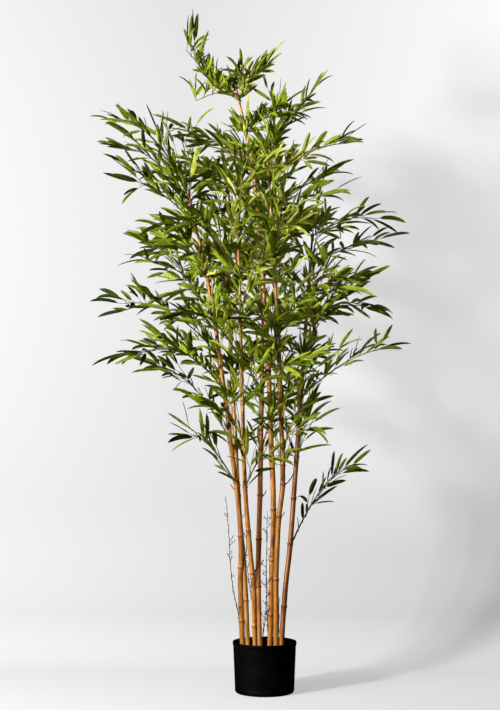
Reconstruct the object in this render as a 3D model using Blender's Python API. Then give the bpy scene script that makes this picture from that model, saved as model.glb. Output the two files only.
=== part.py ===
"""A potted artificial bamboo, 1.8 m tall.

Seven slender natural canes stand in a small filled pot and fan out as they rise. Leafy sprays grow from
the canes' knuckles: each is one stem that arches out, with twigs on both sides and a fan of narrow leaves
on every twig. Metres, +Z up, the origin in the middle of the pot's flat underside, the front towards -Y.
"""

import math
import random

import bmesh
import bpy
from mathutils import Vector
from mathutils.bvhtree import BVHTree

UP = Vector((0, 0, 1))
CLEAR = 0.0003  # gap kept between two solids that meet

# Pot: a plain turned nursery pot with a low collar round its rim.
POT_HEIGHT = 0.134
POT_FOOT_RADIUS = 0.078
POT_RIM_RADIUS = 0.0835
POT_WALL = 0.0025
POT_FLOOR = 0.003
POT_FOOT_ROUND = 0.006
ROUND_STEPS = 3
COLLAR_HEIGHT = 0.009
COLLAR_PROUD = 0.0009
POT_SIDES = 36

# Fill: the hard weight that holds the canes, a little below the rim and domed in the middle.
FILL_TOP = 0.114
FILL_DOME = 0.004
FILL_FLAT = 0.8  # share of the pot's foot radius that the flat middle of the dome takes
SOCKET_DEPTH = 0.045

# Canes.
CANE_SIDES = 6
CANE_TIP_RADIUS = 0.0030
CANE_TAPER = 2.0  # above 1 keeps the lower part of a cane stout
KNUCKLE_SWELL = 1.22
KNUCKLE_HALF_HEIGHT = 0.0035
CANE_STEP = 0.12  # most height between rings of a bare internode

# Sprays.
STEM_SIDES = 3
STEM_SEGMENTS = 6
ROOT_STEP = 0.000075  # how finely a stem's root is drawn back from its cane
STEM_ROOT_RADIUS = 0.0030
STEM_TIP_RADIUS = 0.0021
STEM_SWAY = 0.05  # most sideways bow, as a share of its reach
STEM_DROP = 0.006  # the topmost stems leave the cane this far under its end
TWIG_SPACING = 0.075
MOST_TWIGS = 3
TWIG_LENGTH = 0.072
TWIG_RADIUS = 0.0021
TWIG_ANGLE = math.radians(37)
TWIG_ROLL = 0.6  # most turn of a twig round its stem, in radians
FIRST_TWIG = 0.26  # shares of the stem where its first and last twigs leave it
LAST_TWIG = 0.78

# Leaves, a little broader than life because each stands for two or three.
LEAF_LENGTH = 0.112
LEAF_WIDTH = 0.0155
LEAF_KEEL = 0.0020
LEAF_FOOT = 0.1  # size of the sunk foot beside the broadest part
LEAF_BROADEST = 0.42
LEAF_LIFT = 0.05
LEAF_SHARES = (1.0, 0.72, 0.42)  # where the leaves leave a twig, from its tip down
LEAF_ANGLE = math.radians(32)
LEAF_TURN = 0.12  # most stray from that angle, in radians
LEAF_PLANE = 0.7  # most tilt of a twig's row of leaves
LEAF_ROLL = 0.8  # most turn of a leaf about its own length
LEAF_NOD = (-0.30, 0.16)  # how far leaves droop or lift
LENGTH_SPREAD = (0.82, 1.14)
WIDTH_SPREAD = (0.9, 1.1)
LEAF_CLEARANCE = 0.0006

# Each cane: its radius at the foot, the heights of its knuckles that bear no spray, and points (x, y, z)
# its middle line passes through, from the fill to its top.
# Each of its sprays: height of the knuckle, heading (0 is +X, 90 is +Y), reach and rise of the stem, and how
# far the stem bows above a straight line, as a share of its reach.
CANES = {
    "left": {
        "girth": 0.0070,
        "bare": (0.188, 0.329, 0.412),
        "line": ((-0.0580, -0.010, 0.114), (-0.0632, -0.018, 0.270), (-0.0625, -0.025, 0.410),
                 (-0.0745, -0.031, 0.540), (-0.1415, -0.055, 1.038), (-0.2070, -0.070, 1.340)),
        "sprays": (
            (0.555, 190, 0.110, 0.125, 0.20),
            (0.800, 194, 0.190, 0.100, 0.20),
            (0.985, 172, 0.152, 0.200, 0.10),
            (1.095, 232, 0.130, 0.110, 0.20),
            (1.230, 184, 0.145, 0.112, 0.12),
            (1.290, 168, 0.185, 0.150, 0.20),
            (1.340, 200, 0.165, 0.163, 0.20),
            (1.308, 146, 0.100, 0.180, 0.05),
        ),
    },
    "left_back": {
        "girth": 0.0062,
        "bare": (0.235, 0.380, 0.515),
        "line": ((-0.0440, 0.030, 0.114), (-0.0510, 0.042, 0.270), (-0.0600, 0.052, 0.390),
                 (-0.0690, 0.063, 0.505), (-0.1100, 0.130, 1.265)),
        "sprays": (
            (0.640, 172, 0.205, 0.225, 0.20),
            (0.846, 178, 0.295, 0.190, 0.20),
            (0.950, 105, 0.220, 0.130, 0.20),
            (1.060, 150, 0.190, 0.140, 0.20),
            (1.160, 66, 0.190, 0.130, 0.20),
            (1.265, 118, 0.150, 0.170, 0.20),
        ),
    },
    "left_front": {
        "girth": 0.0066,
        "bare": (0.178, 0.318, 0.430),
        "line": ((-0.0240, -0.032, 0.114), (-0.0300, -0.053, 0.290), (-0.0390, -0.064, 0.385),
                 (-0.0514, -0.082, 0.540), (-0.0690, -0.160, 1.200)),
        "sprays": (
            (0.545, 318, 0.070, 0.080, 0.20),
            (0.660, 238, 0.100, 0.090, 0.20),
            (0.760, 330, 0.100, 0.100, 0.20),
            (0.870, 222, 0.165, 0.120, 0.20),
            (0.980, 285, 0.190, 0.130, 0.20),
            (1.090, 215, 0.160, 0.130, 0.20),
            (1.200, 275, 0.140, 0.180, 0.20),
        ),
    },
    "middle_back": {
        "girth": 0.0077,
        "bare": (0.276, 0.400, 0.518),
        "line": ((-0.0125, 0.012, 0.114), (-0.0168, 0.022, 0.300), (-0.0115, 0.033, 0.540),
                 (0.0020, 0.070, 1.280)),
        "sprays": (
            (0.640, 60, 0.100, 0.100, 0.20),
            (0.760, 108, 0.160, 0.120, 0.20),
            (0.890, 35, 0.190, 0.120, 0.20),
            (1.020, 128, 0.190, 0.140, 0.20),
            (1.150, 62, 0.200, 0.140, 0.20),
            (1.280, 95, 0.140, 0.180, 0.20),
        ),
    },
    "tall": {
        "girth": 0.0074,
        "bare": (0.200, 0.345, 0.480, 0.610, 0.735, 0.850, 0.960, 1.065),
        "line": ((0.0145, 0.020, 0.114), (0.0200, 0.014, 0.305), (0.0232, 0.008, 0.480),
                 (0.0067, -0.004, 0.931), (-0.0150, -0.010, 1.225), (-0.0310, -0.013, 1.398),
                 (-0.0775, -0.020, 1.606)),
        "sprays": (
            (1.150, 30, 0.140, 0.110, 0.10),
            (1.270, 196, 0.140, 0.110, 0.20),
            (1.370, 160, 0.120, 0.100, 0.20),
            (1.485, 335, 0.075, 0.050, 0.10),
            (1.572, 325, 0.035, 0.042, 0.10),
            (1.606, 200, 0.118, 0.0920, -0.35),
        ),
    },
    "middle_front": {
        "girth": 0.0070,
        "bare": (0.300, 0.465, 0.550),
        "line": ((0.0295, -0.036, 0.114), (0.0300, -0.038, 0.330), (0.0370, -0.040, 0.450),
                 (0.0470, -0.041, 0.560), (0.0350, -0.044, 0.960), (0.0060, -0.050, 1.440)),
        "sprays": (
            (0.600, 285, 0.075, 0.090, 0.20),
            (0.720, 288, 0.090, 0.100, 0.20),
            (0.850, 262, 0.170, 0.120, 0.20),
            (0.960, 318, 0.180, 0.125, 0.20),
            (1.080, 275, 0.180, 0.140, 0.20),
            (1.190, 325, 0.130, 0.105, 0.20),
            (1.280, 8, 0.120, 0.080, 0.00),
            (1.350, 352, 0.190, 0.095, 0.10),
            (1.440, 350, 0.105, 0.130, 0.05),
            (1.400, 25, 0.030, 0.172, 0.20),
        ),
    },
    "right": {
        "girth": 0.0075,
        "bare": (0.225, 0.510),
        "line": ((0.0440, -0.004, 0.114), (0.0545, 0.004, 0.265), (0.0680, 0.010, 0.385),
                 (0.0797, 0.015, 0.540), (0.1300, 0.030, 1.220)),
        "sprays": (
            (0.390, 356, 0.130, 0.195, 0.20),
            (0.620, 20, 0.012, 0.070, 0.20),
            (0.780, 350, 0.210, 0.127, 0.10),
            (0.890, 305, 0.140, 0.185, 0.20),
            (0.975, 8, 0.165, 0.045, 0.20),
            (1.060, 352, 0.110, 0.035, 0.10),
            (1.140, 30, 0.185, 0.075, 0.00),
            (1.220, 345, 0.135, 0.050, 0.05),
        ),
    },
}


def clear_scene():
    for obj in list(bpy.data.objects):
        bpy.data.objects.remove(obj, do_unlink=True)


def plain_material(name, colour, roughness):
    material = bpy.data.materials.new(name)
    material.use_nodes = True
    shader = material.node_tree.nodes["Principled BSDF"]
    shader.inputs["Base Color"].default_value = (*colour, 1)
    shader.inputs["Roughness"].default_value = roughness
    shader.inputs["Metallic"].default_value = 0
    return material


def add_object(name, points, faces, material, collection=None):
    """A named object whose mesh has these points and faces, all facing out."""
    mesh = bpy.data.meshes.new(name)
    mesh.from_pydata([tuple(p) for p in points], [], faces)
    work = bmesh.new()
    work.from_mesh(mesh)
    bmesh.ops.recalc_face_normals(work, faces=work.faces)
    work.to_mesh(mesh)
    work.free()
    mesh.materials.append(material)
    obj = bpy.data.objects.new(name, mesh)
    (collection or bpy.context.scene.collection).objects.link(obj)
    return obj


def smooth(obj, angle_deg=35):
    obj.data.shade_smooth()
    obj.data.set_sharp_from_angle(angle=math.radians(angle_deg))


def turned(profile, sides):
    """Points and faces of a profile of (radius, height) turned about Z. Both of its ends lie on the axis."""
    points = [Vector((0, 0, profile[0][1])), Vector((0, 0, profile[-1][1]))]
    rings = []
    for radius, height in profile[1:-1]:
        rings.append(range(len(points), len(points) + sides))
        for k in range(sides):
            turn = math.tau * k / sides
            points.append(Vector((radius * math.cos(turn), radius * math.sin(turn), height)))
    faces = []
    for k in range(sides):
        after = (k + 1) % sides
        faces.append((0, rings[0][after], rings[0][k]))
        faces.append((1, rings[-1][k], rings[-1][after]))
        for low, high in zip(rings, rings[1:]):
            faces.append((low[k], low[after], high[after], high[k]))
    return points, faces


def tube(rings):
    """Points and faces of a closed tube through rings of equally many points."""
    sides = len(rings[0])
    points = [p for ring in rings for p in ring]
    faces = [tuple(reversed(range(sides)))]
    for r in range(len(rings) - 1):
        for k in range(sides):
            after = (k + 1) % sides
            faces.append((r * sides + k, r * sides + after, (r + 1) * sides + after, (r + 1) * sides + k))
    faces.append(tuple(range((len(rings) - 1) * sides, len(rings) * sides)))
    return points, faces


# Pot and fill


def pot_radius(height):
    """Radius of the pot's outside, under the collar."""
    return POT_FOOT_RADIUS + (POT_RIM_RADIUS - POT_FOOT_RADIUS) * height / POT_HEIGHT


def make_pot(material):
    profile = [(0, 0)]
    for step in range(ROUND_STEPS + 1):
        turn = math.pi / 2 * step / ROUND_STEPS
        height = POT_FOOT_ROUND * (1 - math.cos(turn))
        profile.append((pot_radius(height) - POT_FOOT_ROUND * (1 - math.sin(turn)), height))
    collar_foot = POT_HEIGHT - COLLAR_HEIGHT
    collar_radius = POT_RIM_RADIUS + COLLAR_PROUD
    profile += [
        (pot_radius(collar_foot), collar_foot - COLLAR_PROUD),
        (collar_radius, collar_foot),
        (collar_radius, POT_HEIGHT - COLLAR_PROUD),
        (collar_radius - COLLAR_PROUD, POT_HEIGHT),
        (POT_RIM_RADIUS - POT_WALL, POT_HEIGHT),
        (pot_radius(POT_FLOOR) - POT_WALL, POT_FLOOR),
        (0, POT_FLOOR),
    ]
    pot = add_object("pot", *turned(profile, POT_SIDES), material)
    smooth(pot)
    return pot


def make_fill(material, canes):
    """The fill, with a socket for each cane."""
    foot = POT_FLOOR + CLEAR
    gap = POT_WALL + CLEAR / math.cos(math.pi / POT_SIDES)
    profile = [
        (0, foot),
        (pot_radius(foot) - gap, foot),
        (pot_radius(FILL_TOP - FILL_DOME) - gap, FILL_TOP - FILL_DOME),
        (POT_FOOT_RADIUS * FILL_FLAT, FILL_TOP),
        (0, FILL_TOP),
    ]
    fill = add_object("fill", *turned(profile, POT_SIDES), material)
    sockets = bpy.data.collections.new("sockets")
    for name, cane in canes.items():
        fat = cane["girth"] + CLEAR / math.cos(math.pi / CANE_SIDES)
        low = socket_floor() - CLEAR
        rings = [cane_ring(cane, height, fat) for height in (low, socket_rim())]
        add_object(f"socket_{name}", *tube(rings), material, sockets)
    fuse(fill, sockets, "DIFFERENCE", "EXACT")
    return fill


# Canes


def socket_floor():
    return FILL_TOP - SOCKET_DEPTH


def socket_rim():
    return FILL_TOP + FILL_DOME


def cane_top(cane):
    return cane["line"][-1][2]


def cane_point(cane, height):
    """Where the middle of the cane is at a height: on a smooth line through the points of its table row."""
    line = [Vector(point) for point in cane["line"]]
    slopes = []
    for k in range(len(line)):
        before = line[max(k - 1, 0)]
        after = line[min(k + 1, len(line) - 1)]
        slopes.append((after - before) / (after.z - before.z))
    k = sum(1 for point in line[1:-1] if point.z <= height)
    span = line[k + 1].z - line[k].z
    t = (height - line[k].z) / span
    eased = t * t * (3 - 2 * t)
    leaving = slopes[k] * span * t * (1 - t) * (1 - t)
    arriving = slopes[k + 1] * span * t * t * (1 - t)
    return line[k].lerp(line[k + 1], eased) + leaving - arriving


def cane_radius(cane, height):
    share = max(0.0, (height - FILL_TOP) / (cane_top(cane) - FILL_TOP))
    return cane["girth"] + (CANE_TIP_RADIUS - cane["girth"]) * share**CANE_TAPER


def cane_ring(cane, height, radius):
    middle = cane_point(cane, height)
    turns = (math.tau * k / CANE_SIDES for k in range(CANE_SIDES))
    return [middle + radius * Vector((math.cos(turn), math.sin(turn), 0)) for turn in turns]


def knuckle_heights(cane):
    """A knuckle at every spray, and those without a spray."""
    sprayed = {min(row[0], cane_top(cane) - STEM_DROP) for row in cane["sprays"]}
    return sorted(sprayed.union(cane["bare"]))


def make_cane(name, cane, material):
    """One tapering cane with a swollen ring at each knuckle, cut flat at both ends."""
    rings = [cane_ring(cane, height, cane["girth"]) for height in (socket_floor(), socket_rim())]
    reached = socket_rim()
    for height in knuckle_heights(cane):
        steps = math.ceil((height - reached) / CANE_STEP)
        for k in range(1, steps):
            between = reached + (height - reached) * k / steps
            rings.append(cane_ring(cane, between, cane_radius(cane, between)))
        reached = height
        radius = cane_radius(cane, height)
        rings.append(cane_ring(cane, height - KNUCKLE_HALF_HEIGHT, radius))
        rings.append(cane_ring(cane, height, radius * KNUCKLE_SWELL))
        rings.append(cane_ring(cane, height + KNUCKLE_HALF_HEIGHT, radius))
    obj = add_object(f"cane_{name}", *tube(rings), material)
    smooth(obj)
    return obj


# Sprays


def across(direction, roll):
    """Two unit vectors square to the direction: sideways, and towards the leaf's upper face."""
    side = direction.cross(UP)
    side = side.normalized() if side.length > 1e-4 else Vector((1, 0, 0))
    lift = side.cross(direction).normalized()
    return (
        side * math.cos(roll) + lift * math.sin(roll),
        lift * math.cos(roll) - side * math.sin(roll),
    )


def limb_rings(path, radii):
    """Three-sided rings along a path, the first and last square to its ends."""
    rings = []
    for k, (point, radius) in enumerate(zip(path, radii)):
        heading = (path[min(k + 1, len(path) - 1)] - path[max(k - 1, 0)]).normalized()
        side, lift = across(heading, 0)
        turns = (math.tau * n / STEM_SIDES for n in range(STEM_SIDES))
        rings.append([point + radius * (side * math.cos(t) + lift * math.sin(t)) for t in turns])
    return rings


def stem_path(root, out, reach, rise, arch, sway):
    """The stem's middle line: out and up from the cane, bowed by its arch and a little to one side."""
    aside = UP.cross(out)
    path = []
    for k in range(STEM_SEGMENTS + 1):
        share = k / STEM_SEGMENTS
        bow = 4 * share * (1 - share)
        climb = rise * share + arch * reach * bow
        path.append(root + out * reach * share + UP * climb + aside * sway * reach * bow)
    return path


def along(path, share):
    """A point on the path and its heading there."""
    place = share * (len(path) - 1)
    k = min(int(place), len(path) - 2)
    heading = path[k + 1] - path[k]
    return path[k] + heading * (place - k), heading.normalized()


def leaf_shape(foot, direction, roll, length, width, grow=0.0):
    """Points and faces of a keeled blade: a small foot, a broad middle that arches up, and a point."""
    side, lift = across(direction, roll)
    points = []
    for share, size, raised in ((0, LEAF_FOOT, 0), (LEAF_BROADEST, 1, length * LEAF_LIFT)):
        middle = foot + direction * length * share + lift * raised
        half_width = width / 2 * size + grow
        points += [middle - side * half_width, middle + side * half_width]
        points.append(middle - lift * (LEAF_KEEL * size + grow))
    points.append(foot + direction * (length + grow))
    faces = [(0, 2, 1)]
    for k in range(3):
        after = (k + 1) % 3
        faces.append((k, after, 3 + after, 3 + k))
        faces.append((3 + k, 3 + after, 6))
    return points, faces


def tree_of(points, faces):
    return BVHTree.FromPolygons([tuple(p) for p in points], faces)


def touches(shape, trees):
    tree = tree_of(*shape)
    return any(tree.overlap(other) for other in trees)


def turned_towards(direction, side, angle):
    return (direction * math.cos(angle) + side * math.sin(angle)).normalized()


def twig_leaves(root, end, seed):
    """(foot, direction, roll, length, width) of a twig's leaves: one at its tip, the others on both sides."""
    direction = (end - root).normalized()
    leaves = []
    for k, share in enumerate(LEAF_SHARES):
        draw = random.Random(f"{seed} leaf {k}")
        side, _ = across(direction, draw.uniform(-LEAF_PLANE, LEAF_PLANE))
        turn = draw.uniform(-LEAF_TURN, LEAF_TURN)
        if k > 0:
            turn += LEAF_ANGLE if k % 2 else -LEAF_ANGLE
        heading = (turned_towards(direction, side, turn) + UP * draw.uniform(*LEAF_NOD)).normalized()
        foot = root + (end - root) * share
        if k == 0:
            foot -= direction * 2 * TWIG_RADIUS
        length = LEAF_LENGTH * draw.uniform(*LENGTH_SPREAD)
        roll = draw.uniform(-LEAF_ROLL, LEAF_ROLL)
        leaves.append((foot, heading, roll, length, LEAF_WIDTH * draw.uniform(*WIDTH_SPREAD)))
    return leaves


def twig_plan(path, seed):
    """(root, end) of each twig, on alternate sides of the stem and rolled round it."""
    length = sum((b - a).length for a, b in zip(path, path[1:]))
    count = max(2, min(MOST_TWIGS, round(length / TWIG_SPACING)))
    twigs = []
    for k in range(count):
        draw = random.Random(f"{seed} twig {k}")
        share = FIRST_TWIG + (LAST_TWIG - FIRST_TWIG) * k / (count - 1)
        root, heading = along(path, share)
        side, _ = across(heading, draw.uniform(-TWIG_ROLL, TWIG_ROLL) + math.pi * (k % 2))
        direction = turned_towards(heading, side, TWIG_ANGLE * draw.uniform(*LENGTH_SPREAD))
        twigs.append((root, root + direction * TWIG_LENGTH * draw.uniform(*LENGTH_SPREAD)))
    return twigs


def fuse(obj, collection, operation, solver):
    """Joins, or cuts, the object with everything in the collection, and removes the collection."""
    modifier = obj.modifiers.new("fuse", "BOOLEAN")
    modifier.operation = operation
    modifier.operand_type = "COLLECTION"
    modifier.collection = collection
    modifier.solver = solver
    bpy.context.scene.collection.children.link(collection)
    graph = bpy.context.evaluated_depsgraph_get()
    mesh = bpy.data.meshes.new_from_object(obj.evaluated_get(graph))
    obj.modifiers.clear()
    obj.data = mesh
    for other in list(collection.objects):
        bpy.data.objects.remove(other, do_unlink=True)
    bpy.data.collections.remove(collection)


def stem_radii():
    steps = (k / STEM_SEGMENTS for k in range(STEM_SEGMENTS + 1))
    return [STEM_ROOT_RADIUS + (STEM_TIP_RADIUS - STEM_ROOT_RADIUS) * step for step in steps]


class Spray:
    """One mass of foliage: its stem, and the twigs and leaves that find room."""

    def __init__(self, cane_name, number, cane, cane_tree):
        """Lays the stem out from its knuckle, its root just clear of the cane."""
        height, heading, reach, rise, arch = cane["sprays"][number]
        self.name = f"spray_{cane_name}_{number + 1}"
        height = min(height, cane_top(cane) - STEM_DROP)
        turn = math.radians(heading)
        out = Vector((math.cos(turn), math.sin(turn), 0))
        sway = random.Random(f"{self.name} stem").uniform(-STEM_SWAY, STEM_SWAY)
        root = cane_point(cane, height) + out * cane_radius(cane, height)
        while True:
            self.path = stem_path(root, out, reach, rise, arch, sway)
            rings = limb_rings(self.path, stem_radii())
            self.shape = tube(rings)
            near = min(cane_tree.find_nearest(point)[3] for point in probes(rings[0]))
            if near >= CLEAR and not touches(self.shape, [cane_tree]):
                break
            root += out * ROOT_STEP
        self.tree = tree_of(*self.shape)

    def grow(self, others, wood, green):
        """The stem with its twigs and leaves, leaving out each that would touch another solid."""
        parts = bpy.data.collections.new(self.name)
        twigs = [(0, self.path[-2], self.path[-1], self.tree)]
        for number, (root, end) in enumerate(twig_plan(self.path, self.name), 1):
            shape = tube(limb_rings([root, end], [TWIG_RADIUS, TWIG_RADIUS]))
            trees = [twig[3] for twig in twigs[1:]]
            if not touches(shape, others + trees):
                twigs.append((number, root, end, tree_of(*shape)))
                add_object("twig", *shape, wood, parts)
        grown = []
        for number, root, end, own in twigs:
            trees = others + [twig[3] for twig in twigs if twig[3] is not own]
            for foot, heading, roll, length, width in twig_leaves(root, end, f"{self.name} {number}"):
                if touches(leaf_shape(foot, heading, roll, length, width, LEAF_CLEARANCE), trees + grown):
                    continue
                shape = leaf_shape(foot, heading, roll, length, width)
                grown.append(tree_of(*shape))
                add_object("leaf", *shape, green, parts)
        obj = add_object(self.name, *self.shape, green)
        fuse(obj, parts, "UNION", "MANIFOLD")
        return obj


def probes(ring):
    """Points on a stem's end: its corners, the middles of its sides and its middle."""
    middles = [(a + b) / 2 for a, b in zip(ring, ring[1:] + ring[:1])]
    return ring + middles + [sum(ring, Vector()) / len(ring)]


def tree_of_object(obj):
    return tree_of([v.co for v in obj.data.vertices], [tuple(p.vertices) for p in obj.data.polygons])


def make_plant():
    black = plain_material("black plastic", (0.012, 0.012, 0.012), 0.5)
    earth = plain_material("dark fill", (0.030, 0.024, 0.020), 0.95)
    wood = plain_material("cane", (0.47, 0.26, 0.10), 0.5)
    green = plain_material("leaf", (0.12, 0.22, 0.04), 0.55)
    solids = [tree_of_object(make_pot(black)), tree_of_object(make_fill(earth, CANES))]
    sprays = []
    for name, cane in CANES.items():
        solids.append(tree_of_object(make_cane(name, cane, wood)))
        sprays += [Spray(name, number, cane, solids[-1]) for number in range(len(cane["sprays"]))]
    masses = []
    for spray in sprays:
        stems = [other.tree for other in sprays if other is not spray]
        masses.append(tree_of_object(spray.grow(solids + masses + stems, wood, green)))


clear_scene()
make_plant()
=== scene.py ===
import math
import random

import bpy
import numpy as np
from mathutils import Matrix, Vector, noise


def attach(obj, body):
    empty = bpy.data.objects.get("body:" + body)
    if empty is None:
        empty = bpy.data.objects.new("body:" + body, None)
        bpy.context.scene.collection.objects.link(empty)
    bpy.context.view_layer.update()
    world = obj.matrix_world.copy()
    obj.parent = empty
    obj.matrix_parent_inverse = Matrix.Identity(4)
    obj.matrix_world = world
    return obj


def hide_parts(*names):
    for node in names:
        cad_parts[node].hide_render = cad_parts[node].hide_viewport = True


# A potted artificial bamboo, 1.8 m tall: seven brown canes, sprays of narrow leaves, a small black pot.
# Everything is in metres and radians, apart from the headings in the tables, which are in degrees
# from +X. Tints, canes and sprays are tables, and seeded draws deal out the leaves.

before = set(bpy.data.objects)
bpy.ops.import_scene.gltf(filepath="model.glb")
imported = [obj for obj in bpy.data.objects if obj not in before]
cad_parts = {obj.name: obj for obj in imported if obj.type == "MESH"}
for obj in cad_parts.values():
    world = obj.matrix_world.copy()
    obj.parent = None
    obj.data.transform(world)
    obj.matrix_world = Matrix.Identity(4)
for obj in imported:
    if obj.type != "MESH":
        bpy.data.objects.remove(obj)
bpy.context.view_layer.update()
up = Vector((0, 0, 1))
print("frame loaded:", len(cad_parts), "solids")


def addMesh(name, points, faces, materials, slots=None):
    mesh = bpy.data.meshes.new(name)
    mesh.from_pydata([tuple(p) for p in points], [], faces)
    for material in materials:
        mesh.materials.append(material)
    if slots is not None:
        mesh.polygons.foreach_set("material_index", slots)
    mesh.shade_smooth()
    mesh.update()
    obj = bpy.data.objects.new(name, mesh)
    bpy.context.scene.collection.objects.link(obj)
    return obj


def grey(value):
    return (value, value, value)


def newMaterial(name, roughness, colour=None, specular=0.5):
    material = bpy.data.materials.new(name)
    material.use_nodes = True
    nodes = material.node_tree.nodes
    shader = nodes["Principled BSDF"]
    shader.inputs["Roughness"].default_value = roughness
    shader.inputs["Specular IOR Level"].default_value = specular
    if colour:
        shader.inputs["Base Color"].default_value = (*colour, 1)
    return material, material.node_tree, shader


def noiseNode(tree, scale, stretch=(1, 1, 1), detail=3.0, roughness=0.55):
    # noise in the object's own metres, stretched along an axis
    coords = tree.nodes.new("ShaderNodeTexCoord")
    mapping = tree.nodes.new("ShaderNodeMapping")
    mapping.inputs["Scale"].default_value = stretch
    tree.links.new(coords.outputs["Object"], mapping.inputs["Vector"])
    texture = tree.nodes.new("ShaderNodeTexNoise")
    texture.inputs["Scale"].default_value = scale
    texture.inputs["Detail"].default_value = detail
    texture.inputs["Roughness"].default_value = roughness
    tree.links.new(mapping.outputs["Vector"], texture.inputs["Vector"])
    return texture.outputs["Fac"]


def rampNode(tree, factor, stops):
    ramp = tree.nodes.new("ShaderNodeValToRGB")
    elements = ramp.color_ramp.elements
    while len(elements) < len(stops):
        elements.new(0.5)
    for element, (place, colour) in zip(elements, stops):
        element.position = place
        element.color = (*colour, 1)
    tree.links.new(factor, ramp.inputs["Fac"])
    return ramp.outputs["Color"]


def mixNode(tree, factor, first, second):
    mix = tree.nodes.new("ShaderNodeMix")
    mix.data_type = "RGBA"
    sockets = (mix.inputs["Factor"], mix.inputs["A"], mix.inputs["B"])
    for socket, value in zip(sockets, (factor, first, second)):
        if isinstance(value, bpy.types.NodeSocket):
            tree.links.new(value, socket)
        else:
            socket.default_value = (*value, 1)
    return mix.outputs["Result"]


def bumpInto(tree, shader, height, strength, distance):
    bump = tree.nodes.new("ShaderNodeBump")
    bump.inputs["Strength"].default_value = strength
    bump.inputs["Distance"].default_value = distance
    tree.links.new(height, bump.inputs["Height"])
    tree.links.new(bump.outputs["Normal"], shader.inputs["Normal"])


def outwards(turn):
    # level unit vector at an angle from +X
    return Vector((math.cos(turn), math.sin(turn), 0))


def across(direction, roll):
    # sideways and upward unit vectors square to a direction, rolled about it
    side = direction.cross(up)
    side = side.normalized() if side.length > 1e-4 else Vector((1, 0, 0))
    lift = side.cross(direction).normalized()
    return (side * math.cos(roll) + lift * math.sin(roll), lift * math.cos(roll) - side * math.sin(roll))


def towards(direction, side, angle):
    return (direction * math.cos(angle) + side * math.sin(angle)).normalized()


class Builder:
    # gathers many small closed tubes into one mesh
    def __init__(self):
        self.points, self.faces, self.slots = [], [], []

    def tube(self, path, radii, sides, slot=0):
        start = len(self.points)
        side, _ = across((path[1] - path[0]).normalized(), 0)
        for k, (point, radius) in enumerate(zip(path, radii)):
            heading = (path[min(k + 1, len(path) - 1)] - path[max(k - 1, 0)]).normalized()
            side = (side - heading * side.dot(heading)).normalized()
            lift = side.cross(heading)
            for n in range(sides):
                turn = math.tau * n / sides
                self.points.append(point + radius * (side * math.cos(turn) + lift * math.sin(turn)))
        for k in range(len(path) - 1):
            for n in range(sides):
                a, b = start + k * sides + n, start + k * sides + (n + 1) % sides
                self.faces.append((a, a + sides, b + sides, b))
        last = start + (len(path) - 1) * sides
        self.faces.append(tuple(start + n for n in range(sides)))
        self.faces.append(tuple(last + sides - 1 - n for n in range(sides)))
        self.slots += [slot] * ((len(path) - 1) * sides + 2)

    def finish(self, name, materials):
        return addMesh(name, self.points, self.faces, materials, self.slots)


# the plan that the solids follow too
plan = {
    "fillTop": 0.114,
    "tipRadius": 0.0030,
    "taper": 2.0,
    "lineStep": 0.01,  # spacing of the points that stand for a cane's middle line
    "stemSway": 0.05,
    "stemDrop": 0.006,
    "stemSteps": 6,
    "twigSpacing": 0.075,
    "fewestTwigs": 2,
    "mostTwigs": 3,
    "twigLength": 0.072,
    "twigAngle": math.radians(37),
    "twigRoll": 0.6,
    "twigShares": (0.26, 0.78),
    "leafLength": 0.112,
    "leafShares": (1.0, 0.72, 0.42),
    "leafAngle": math.radians(32),
    "leafTurn": 0.12,
    "leafPlane": 0.7,
    "leafRoll": 0.8,
    "leafNod": (-0.30, 0.16),
    "lengthSpread": (0.82, 1.14),
}

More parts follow.
